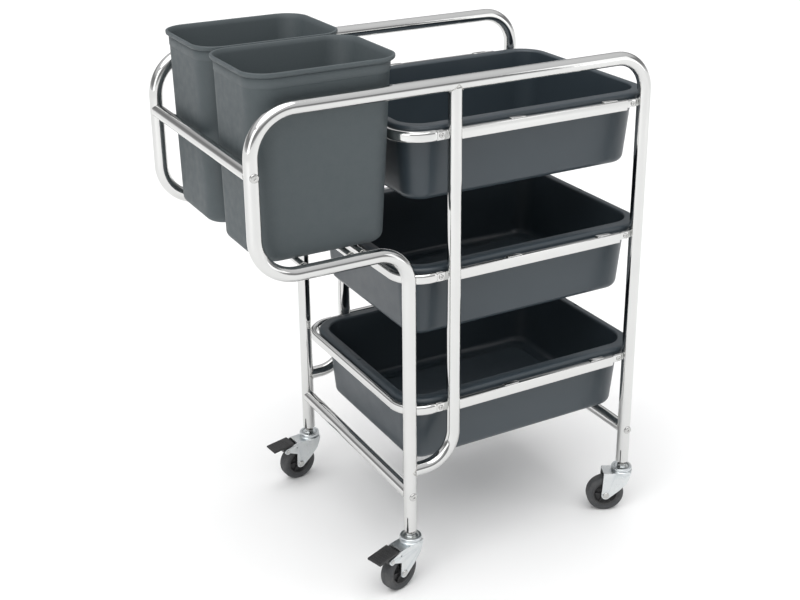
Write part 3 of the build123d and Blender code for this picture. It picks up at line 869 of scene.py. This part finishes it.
def flip_x_for(sign):
    """Turns a fitting drawn toward +X and +Y so that it runs toward -X, on either side."""
    return (math.pi, 0, math.pi) if sign < 0 else (0, 0, math.pi)


def join(pieces, name, material):
    bm = bmesh.new()
    for piece in pieces:
        bm.from_mesh(piece.data)
        bpy.data.objects.remove(piece)
    return from_bmesh(name, bm, material)


carriers()


# --- tubs -----------------------------------------------------------------------------------------
LIP_END, LIP_SIDE, LIP_DROP, LIP_ROUND, LIP_SKIN = (v * MM for v in (18, 24, 16.8, 6, 2.5))
TUB_WALL, TUB_TAPER, TUB_R, TUB_BOW = 3 * MM, 11 * MM, 60 * MM, 1.2 * MM


def tub(level):
    node = f"tub_{level}"
    low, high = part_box(node)
    top, floor = high.z, low.z
    rings = []

    def ring(dx, dy, radius, z, bow=0.0):
        """The tub's outline drawn in by dx and dy; bow swells the middle of its long walls."""
        points = rounded_ring(low.x + dx, high.x - dx, low.y + dy, high.y - dy, radius, z, 14, 8)
        middle, span = (low.x + high.x) / 2, (high.x - low.x) / 2
        for p in points:
            p.y += math.copysign(bow * max(0.0, 1 - ((p.x - middle) / span) ** 2) ** 2, p.y)
        rings.append(points)

    # underside, its rounded edge, and the outer wall up to the lip
    fillet = 15 * MM
    ring(70 * MM, 76 * MM, 24 * MM, floor + 0.6 * MM)
    ring(64 * MM, 70 * MM, 28 * MM, floor)
    for a in quarter_steps(8):
        pull = fillet * (1 - math.sin(a))
        ring(LIP_END + 8 * MM + pull, LIP_SIDE + 8 * MM + pull, 39 * MM - pull,
             floor + fillet * (1 - math.cos(a)))
    for share in (0.35, 0.7, 1.0):
        z = floor + fillet + (top - TUB_WALL - floor - fillet) * share
        lean = 8 * MM * (1 - share) - 3 * MM * share
        ring(LIP_END + lean, LIP_SIDE + lean, 39 * MM + 8 * MM * share, z,
             TUB_BOW * math.sin(math.pi * share))
    # under the lip, down inside its skirt, and up its outer face
    ring(9 * MM, 12 * MM, 54 * MM, top - TUB_WALL)
    inside = LIP_ROUND - LIP_SKIN
    for a in quarter_steps(4):
        back = LIP_SKIN + inside * (1 - math.sin(a))
        ring(back, back, TUB_R - back, top - TUB_WALL - inside * (1 - math.cos(a)))
    ring(LIP_SKIN, LIP_SKIN, TUB_R - LIP_SKIN, top - LIP_DROP + 0.5 * MM)
    ring(LIP_SKIN - 0.5 * MM, LIP_SKIN - 0.5 * MM, TUB_R - 2 * MM, top - LIP_DROP)
    ring(0.6 * MM, 0.6 * MM, TUB_R - 0.6 * MM, top - LIP_DROP)
    ring(0, 0, TUB_R, top - LIP_DROP + 0.6 * MM)
    ring(0, 0, TUB_R, top - LIP_ROUND - 3 * MM)
    crown = 8.5 * MM
    for a in quarter_steps(9):
        back = crown * (1 - math.cos(a))
        ring(back, back, TUB_R - back, top - crown * (1 - math.sin(a)))
    # over the lip and down into the opening
    inner = 4 * MM
    for a in quarter_steps(6):
        back = inner * (1 - math.sin(a))
        ring(LIP_END - back, LIP_SIDE - back, 44 * MM + back, top - inner * (1 - math.cos(a)))
    depth = top - inner - (floor + TUB_WALL)
    bend = 12 * MM
    for share in (0.35, 0.7):
        ring(LIP_END + TUB_TAPER * share * 0.9, LIP_SIDE + TUB_TAPER * share * 0.9,
             44 * MM - 8 * MM * share, top - inner - (depth - bend) * share,
             TUB_BOW * math.sin(math.pi * share))
    for a in quarter_steps(8):
        pull = bend * (1 - math.cos(a))
        ring(LIP_END + TUB_TAPER + pull, LIP_SIDE + TUB_TAPER + pull, 36 * MM - pull,
             floor + TUB_WALL + bend * (1 - math.sin(a)))
    # the floor, with its raised panel
    inset = TUB_TAPER + 34 * MM
    ring(LIP_END + inset - 0.8 * MM, LIP_SIDE + inset - 0.8 * MM, 30.8 * MM, floor + TUB_WALL)
    for a in quarter_steps(4):
        ring(LIP_END + inset + 1.2 * MM * (1 - math.cos(a)), LIP_SIDE + inset + 1.2 * MM * (1 - math.cos(a)),
             30 * MM, floor + TUB_WALL + 0.8 * MM + 1.7 * MM * math.sin(a))
    bm = bmesh.new()
    skin(bm, rings)
    piece = from_bmesh(f"{node}_moulded", bm, TUB_PLASTIC, smooth_angle=50)
    piece = drilled(piece, [((x, 0, top), 3.5 * MM) for x in (low.x + LIP_END / 2, high.x - LIP_END / 2)])
    return stands_for(piece, node)


def drilled(piece, holes):
    """Cuts short vertical holes through a lip, with a Boolean that is applied."""
    for centre, radius in holes:
        bm = bmesh.new()
        bmesh.ops.create_cone(bm, cap_ends=True, segments=28, radius1=radius, radius2=radius, depth=14 * MM)
        bm.transform(Matrix.Translation(centre))
        drill = in_scene("drill", plain_mesh("drill", bm))
        cut = piece.modifiers.new("hole", "BOOLEAN")
        cut.operation, cut.solver, cut.object = "DIFFERENCE", "EXACT", drill
        made = worked_mesh(piece)
        piece.modifiers.clear()
        name, material = piece.name, piece.data.materials[0]
        bpy.data.objects.remove(drill)
        bpy.data.objects.remove(piece)
        piece = finish_mesh(name, made, material, 50)
    return piece


for level in LEVELS:
    tub(level)


# --- bins -----------------------------------------------------------------------------------------
# how far each outline lies inside the rim: at -X, at +X, toward the other bin, away from it; corner
BIN_RIM, BIN_NECK, BIN_BASE = (tuple(v * MM for v in sizes) for sizes in (
    (0, 0, 0, 0, 47), (5.5, 8.5, 5, 5, 43), (10, 25.5, 12, 14, 38)))
BIN_WALL, BIN_FLOOR, RIM_WIDTH = 2.4 * MM, 2.8 * MM, 4.6 * MM
FLARE_H, RIM_H, COLLAR_H, COLLAR_OUT = 9 * MM, 4 * MM, 26 * MM, 0.6 * MM


def waste_bin(side):
    """A tapered bin with a stepped collar and a flared, rounded rim."""
    node = f"bin_{side}"
    low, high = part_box(node)
    top, floor = high.z, low.z
    rings = []

    def between(a, b, share):
        return tuple(u + (v - u) * share for u, v in zip(a, b))

    def ring(sizes, inset, z):
        left, right, inner, outer, corner = sizes
        near, far = (outer, inner) if side == "front" else (inner, outer)
        rings.append(rounded_ring(low.x + left + inset, high.x - right - inset, low.y + near + inset,
                                  high.y - far - inset, max(corner - inset, 6 * MM), z, 14, 6))

    def wall(z):
        return between(BIN_BASE, BIN_NECK, (z - floor) / (top - FLARE_H - floor))

    fillet = 14 * MM
    ring(BIN_BASE, 40 * MM, floor + 1.2 * MM)
    ring(BIN_BASE, 36 * MM, floor)
    for a in quarter_steps(8):
        z = floor + fillet * (1 - math.cos(a))
        ring(wall(z), fillet * (1 - math.sin(a)), z)
    collar = top - COLLAR_H
    ring(wall(collar - 0.8 * MM), 0, collar - 0.8 * MM)
    ring(BIN_NECK, 0.1 * MM, collar)
    ring(BIN_NECK, -COLLAR_OUT, collar + 0.9 * MM)
    ring(BIN_NECK, -COLLAR_OUT, top - FLARE_H - 0.8 * MM)
    ring(BIN_NECK, 0, top - FLARE_H)
    for a in quarter_steps(5)[1:]:
        ring(between(BIN_NECK, BIN_RIM, math.sin(a)), 0, top - RIM_H - (FLARE_H - RIM_H) * math.cos(a))
    rolled = 1.4 * MM
    for a in quarter_steps(5):
        ring(BIN_RIM, rolled * (1 - math.cos(a)), top - rolled * (1 - math.sin(a)))
    ring(BIN_RIM, RIM_WIDTH - 0.9 * MM, top)
    ring(BIN_RIM, RIM_WIDTH, top - 0.9 * MM)
    ring(BIN_NECK, BIN_WALL, top - FLARE_H)
    bend = 12 * MM
    for a in quarter_steps(8):
        z = floor + BIN_FLOOR + bend * (1 - math.sin(a))
        ring(wall(z), BIN_WALL + bend * (1 - math.cos(a)), z)
    ring(BIN_BASE, 45 * MM, floor + BIN_FLOOR + 0.4 * MM)
    bm = bmesh.new()
    skin(bm, rings)
    return stands_for(from_bmesh(f"{node}_moulded", bm, BIN_PLASTIC, smooth_angle=50), node)


for side in SIDES:
    waste_bin(side)


# --- casters: built round the swivel axis, trailing toward -X, then turned and moved -----------------
WHEEL_R, TRAIL, FORK_HALF, FORK_SHEET = (v * MM for v in (37.5, 32, 16.5, 2.5))


def caster_place(name):
    """Where a caster stands and how it is turned, from its joints."""
    x, y, _ = JOINTS[f"swivel_{name}"]["pos_m"]
    ax, ay, _ = JOINTS[f"roll_{name}"]["axis"]
    return Matrix.Translation((x, y, 0)) @ Matrix.Rotation(math.atan2(-ax, ay), 4, "Z")


def turned(bm, profile, axis="Z", centre=(0, 0, 0), count=64):
    """A closed body turned from (radius, along); the first and last points may lie on the axis."""
    rings = []
    for radius, along in profile:
        ring = []
        for a in (2 * math.pi * k / count for k in range(count)):
            c, s = radius * math.cos(a), radius * math.sin(a)
            p = Vector((c, s, along)) if axis == "Z" else Vector((c, along, s))
            ring.append(p + Vector(centre))
        rings.append(ring)
    closed = profile[0][0] > 1e-6 and profile[-1][0] > 1e-6
    skin(bm, rings, closed=closed)


def tyre(name, place):
    """Crowned tread with a moulding line, rounded shoulders and a stepped sidewall."""
    profile = [(25.5, -10.5), (26.4, -11.0), (27.2, -11.0), (27.9, -11.7), (30, -12.0), (31.5, -12.0)]
    shoulder = 6.0
    for a in quarter_steps(8):
        profile.append((31.5 + shoulder * math.sin(a), -12 + shoulder * (1 - math.cos(a))))
    profile += [(37.5, -0.45), (37.34, -0.25)]
    profile += [(r, -w) for r, w in reversed(profile)]
    axle = (-TRAIL, 0, WHEEL_R)
    bm = bmesh.new()
    turned(bm, [(r * MM, w * MM) for r, w in profile], "Y", axle, 96)
    return stands_for(from_bmesh(f"caster_{name}_tyre_rubber", bm, RUBBER, place), f"caster_{name}_tyre")


def hub_rib():
    """A thin web from the boss to the rim of the hub, on both faces, standing on its axle line."""
    bm = bmesh.new()
    for side in (-1, 1):
        outline = [(9, 4.6), (24, 4.6), (24, 9.2), (16, 7.6), (9, 9.6)]
        skin(bm, [[Vector((a * MM, side * b * MM, c * 0.9 * MM)) for a, b in outline] for c in (-1, 1)])
    bevelled(bm, 0.2 * MM)
    return from_bmesh("hub_rib", bm, NYLON)


def hub(name, place):
    profile = [(4.08, -13.2), (7.9, -13.2), (8.5, -12.6), (9.5, -5.4), (10.4, -4.8), (19.2, -4.8),
               (20.2, -5.4), (22.3, -10.0), (23.0, -10.5), (25.4, -10.5), (25.4, 10.5), (23.0, 10.5),
               (22.3, 10.0), (20.2, 5.4), (19.2, 4.8), (10.4, 4.8), (9.5, 5.4), (8.5, 12.6), (7.9, 13.2),
               (4.08, 13.2)]
    bm = bmesh.new()
    turned(bm, [(r * MM, w * MM) for r, w in profile], "Y", (0, 0, 0), 72)
    disc = from_bmesh("hub_disc", bm, NYLON)
    ribs = 6
    places = [((0, 0, 0), (0, math.tau * k / ribs, 0)) for k in range(ribs)]
    webs = set_out("hub_webs", hub_rib(), places, NYLON)
    whole = join([disc, webs], f"caster_{name}_hub_moulded", NYLON)
    whole.data.transform(place @ Matrix.Translation((-TRAIL, 0, WHEEL_R)))
    return stands_for(whole, f"caster_{name}_hub", slot="hub_plastic")


def pedal(name, place):
    """The brake pedal: a ribbed foot plate with rounded edges, and the shoe under it."""
    bm = bmesh.new()
    plate = [(47, 91.2), (94, 86.4), (95.5, 84.2), (94, 81.6), (70, 84.6), (47, 87.0)]
    wide = FORK_HALF

    def block(points, half):
        skin(bm, [[Vector((-s * MM, w, z * MM)) for s, z in points] for w in (-half, half)])

    block(plate, wide)
    shoe = [(50, 88), (72, 85.5), (70, 76), (65.5, 68), (59.6, 65.4), (55, 71.5), (54.5, 78)]
    block(shoe, FORK_HALF - FORK_SHEET - 0.6 * MM)
    bevelled(bm, 0.9 * MM, 3)
    body = from_bmesh("pedal_body", bm, NYLON, smooth_angle=50)
    rib = bmesh.new()
    bmesh.ops.create_cube(rib, size=1.0)
    rib.transform(Matrix.Diagonal((1.1 * MM, 26 * MM, 1.0 * MM, 1)))
    bevelled(rib, 0.3 * MM)
    grips = 7
    slope = math.atan2(4.8, 47)
    places = [((-(58 + 5 * k) * MM, 0, (91.2 - (58 + 5 * k - 47) * 4.8 / 47 + 0.1) * MM), (0, slope, 0))
              for k in range(grips)]
    ridges = set_out("pedal_ridges", from_bmesh("grip_rib", rib, NYLON), places, NYLON)
    whole = join([body, ridges], f"caster_{name}_pedal_moulded", NYLON)
    whole.data.transform(place)
    return stands_for(whole, f"caster_{name}_pedal", slot="pedal_plastic")


def stem(name, place):
    """King pin, hexagon with chamfered corners, and the thread that shows below the leg."""
    bm = bmesh.new()
    thread = [(5.0 if k % 2 else 4.55, 104.6 + 0.5 * k) for k in range(12)]
    profile = [(0, 80.2), (7.6, 80.2), (8, 80.6), (8, 85.0), (5, 85.2), (5, 104), *thread, (5, 112),
               (5, 149.5), (4.5, 150), (0, 150)]
    turned(bm, [(r * MM, z * MM) for r, z in profile], "Z", (0, 0, 0), 40)
    hexes = [(8.6, 95.5), (9.4, 96.1), (9.4, 103.3), (8.4, 104.0)]
    skin(bm, [[Vector((r * MM * math.cos(math.pi * k / 3), r * MM * math.sin(math.pi * k / 3), z * MM))
               for k in range(6)] for r, z in hexes])
    return stands_for(from_bmesh(f"caster_{name}_stem_turned", bm, STEEL, place, smooth_angle=28),
                      f"caster_{name}_stem")


def race(name, place):
    """The pressed cap over the swivel balls, a dished ring with rolled edges."""
    profile = [(5.2, 91.3), (19.0, 91.3), (19.9, 91.6), (20.5, 92.4), (20.6, 93.4), (20.6, 95.4),
               (20.3, 96.8), (19.6, 97.7), (18.6, 98.0), (16.4, 98.0), (15.5, 97.7), (14.8, 96.9),
               (14.3, 96.0), (13.4, 95.5), (5.2, 95.5)]
    bm = bmesh.new()
    turned(bm, [(r * MM, z * MM) for r, z in profile], "Z", (0, 0, 0), 72)
    return stands_for(from_bmesh(f"caster_{name}_race_pressed", bm, ZINC, place, smooth_angle=50),
                      f"caster_{name}_race")


for name, braked in CASTERS.items():
    place = caster_place(name)
    refined(f"caster_{name}_fork", f"caster_{name}_fork_pressed", ZINC, 0.5 * MM, 40, 3)
    tyre(name, place)
    hub(name, place)
    stem(name, place)
    race(name, place)
    refined(f"caster_{name}_axle", f"caster_{name}_axle_riveted", STEEL, 0.35 * MM)
    if braked:
        pedal(name, place)
        refined(f"caster_{name}_pedal_pin", f"caster_{name}_pedal_pin_riveted", STEEL, 0.3 * MM)

for node, material in (("bar_plugs", ZINC), ("leg_inserts", NYLON)):
    for slot_index in range(max(1, len(NODES[node].data.materials))):
        NODES[node].material_slots[slot_index].material = material


# --- welds ------------------------------------------------------------------------------------------
def saddle(centre, along, onto, radius, tube=TUBE_R, count=48):
    """Where a round bar running along a direction meets a tube that runs along another."""
    third = along.cross(onto)
    points = []
    for a in (2 * math.pi * k / count for k in range(count)):
        b, c = radius * math.cos(a), radius * math.sin(a)
        depth = math.sqrt(max(tube * tube - c * c, 0.0))
        points.append(centre + onto * b + third * c + along * depth)
    return points


def welds():
    loops = []
    x_axis, y_axis, z_axis = Vector((1, 0, 0)), Vector((0, 1, 0)), Vector((0, 0, 1))
    for sign in (-1, 1):
        y = sign * HALF_W
        loops.append(saddle(Vector((X_MID, y, Z_TOP)), -z_axis, x_axis, TUBE_R))
        loops.append(saddle(Vector((X_LEG, y, Z_HOOK)), x_axis, z_axis, TUBE_R))
        low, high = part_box("bin_shelf_rods")
        for x in (low.x + ROD_R, high.x - ROD_R - ROD_GAP, high.x - ROD_R):
            loops.append([p + z_axis * (Z_ROD - Z_SHELF)
                          for p in saddle(Vector((x, y, Z_SHELF)), -sign * y_axis, x_axis, ROD_R)])
    weld_piece("weld_beads", loops, 1.0 * MM)


welds()

# --- floor, light and camera ---------------------------------------------------------------------------
def pale_floor():
    f = Finish("pale_floor")
    tone = f.mix(f.noise(1.5, 3), (0.90, 0.90, 0.895), (0.93, 0.93, 0.925))
    f.set(Base_Color=tone, Roughness=f.band(f.noise(4, 3), 0.3, 0.7, 0.60, 0.75),
          Normal=f.bump(f.noise(240, 2), 0.0001, 0.2))
    bm = bmesh.new()
    bmesh.ops.create_grid(bm, x_segments=8, y_segments=8, size=30)
    floor = from_bmesh("studio_floor", bm, f.material)
    floor.data.transform(Matrix.Translation((0, 0, -0.0002)))


def filled(ramp, stops):
    """A colour ramp with (position, grey) stops; its blue is scaled a little by the third value."""
    for index, (at, grey, blue) in enumerate(stops):
        element = ramp.color_ramp.elements[index] if index < 2 else ramp.color_ramp.elements.new(at)
        element.position = at
        element.color = (grey, grey, grey * blue, 1)
    return ramp.outputs["Color"]


def studio_world():
    """Seen directly the studio is white; in reflections it is a pale room with dark upright bands."""
    world = bpy.data.worlds.new("studio")
    bpy.context.scene.world = world
    world.use_nodes = True
    nodes, links = world.node_tree.nodes, world.node_tree.links
    shown, seen = nodes["Background"], nodes.new("ShaderNodeBackground")
    seen.inputs["Color"].default_value = (1, 1, 1, 1)
    seen.inputs["Strength"].default_value = 1.0
    place = nodes.new("ShaderNodeTexCoord").outputs["Generated"]
    split = nodes.new("ShaderNodeSeparateXYZ")
    ramp = nodes.new("ShaderNodeValToRGB")
    lift = nodes.new("ShaderNodeMapRange")
    lift.inputs["From Min"].default_value = -1.0
    links.new(place, split.inputs["Vector"])
    links.new(split.outputs["Z"], lift.inputs["Value"])
    links.new(lift.outputs["Result"], ramp.inputs["Fac"])
    stops = ((0.0, 0.80), (0.50, 0.74), (0.56, 0.30), (0.66, 0.26), (0.74, 0.72), (1.0, 0.92))
    heights = filled(ramp, [(at, grey, 1.01) for at, grey in stops])
    around = nodes.new("ShaderNodeTexGradient")
    around.gradient_type = "RADIAL"
    links.new(place, around.inputs["Vector"])
    walls = nodes.new("ShaderNodeValToRGB")
    uprights = ((0.0, 1.0), (0.06, 1.0), (0.09, 0.10), (0.15, 0.12), (0.18, 1.0), (0.30, 1.0), (0.33, 0.08),
                (0.38, 0.10), (0.41, 1.0), (0.55, 1.0), (0.58, 0.12), (0.63, 0.10), (0.66, 1.0), (0.80, 1.0),
                (0.83, 0.10), (0.89, 0.12), (0.92, 1.0), (1.0, 1.0))
    bands = filled(walls, [(at, grey, 1.0) for at, grey in uprights])
    room = nodes.new("ShaderNodeMix")
    room.data_type, room.blend_type = "RGBA", "MULTIPLY"
    room.inputs["Factor"].default_value = 1.0
    links.new(heights, room.inputs["A"])
    links.new(bands, room.inputs["B"])
    links.new(room.outputs["Result"], shown.inputs["Color"])
    shown.inputs["Strength"].default_value = 1.0
    pick = nodes.new("ShaderNodeMixShader")
    rays = nodes.new("ShaderNodeLightPath")
    links.new(rays.outputs["Is Camera Ray"], pick.inputs["Fac"])
    links.new(shown.outputs["Background"], pick.inputs[1])
    links.new(seen.outputs["Background"], pick.inputs[2])
    links.new(pick.outputs["Shader"], nodes["World Output"].inputs["Surface"])


def soft_light(name, place, aim, width, height, power):
    data = bpy.data.lights.new(name, "AREA")
    data.shape, data.size, data.size_y, data.energy = "RECTANGLE", width, height, power
    light = in_scene(name, data)
    light.location = place
    light.rotation_euler = (Vector(aim) - Vector(place)).to_track_quat("-Z", "Y").to_euler()


def studio_lights():
    """A wide even light over everything, and two softboxes for highlights."""
    sky = bpy.data.lights.new("wide_overhead", "SUN")
    sky.energy, sky.angle = 1.9, math.radians(70)
    light = in_scene("wide_overhead", sky)
    light.rotation_euler = (math.radians(12), math.radians(-14), 0)
    middle = (CAD_LOW + CAD_HIGH) / 2
    soft_light("left_softbox", (-3.0, -1.6, 1.7), middle, 1.6, 2.2, 16)
    soft_light("right_softbox", (2.6, -2.6, 1.5), middle, 1.2, 2.2, 10)


def camera():
    """Looks down at the bin end and the front side."""
    data = bpy.data.cameras.new("camera")
    data.sensor_width, data.lens = 36.0, 58.47
    data.shift_x, data.shift_y = -0.020, -0.087
    turn, dip, roll = math.radians(-29.43), math.radians(21.02), math.radians(-0.25)
    ahead = Vector((-math.sin(turn) * math.cos(dip), math.cos(turn) * math.cos(dip), -math.sin(dip)))
    cam = in_scene("camera", data)
    cam.location = (-1.1127, -2.0049, 1.4849)
    cam.rotation_mode = "QUATERNION"
    cam.rotation_quaternion = ahead.to_track_quat("-Z", "Y") @ Matrix.Rotation(roll, 3, "Z").to_quaternion()
    bpy.context.scene.camera = cam


pale_floor()
studio_world()
studio_lights()
camera()
bpy.context.scene.view_settings.view_transform = "Standard"
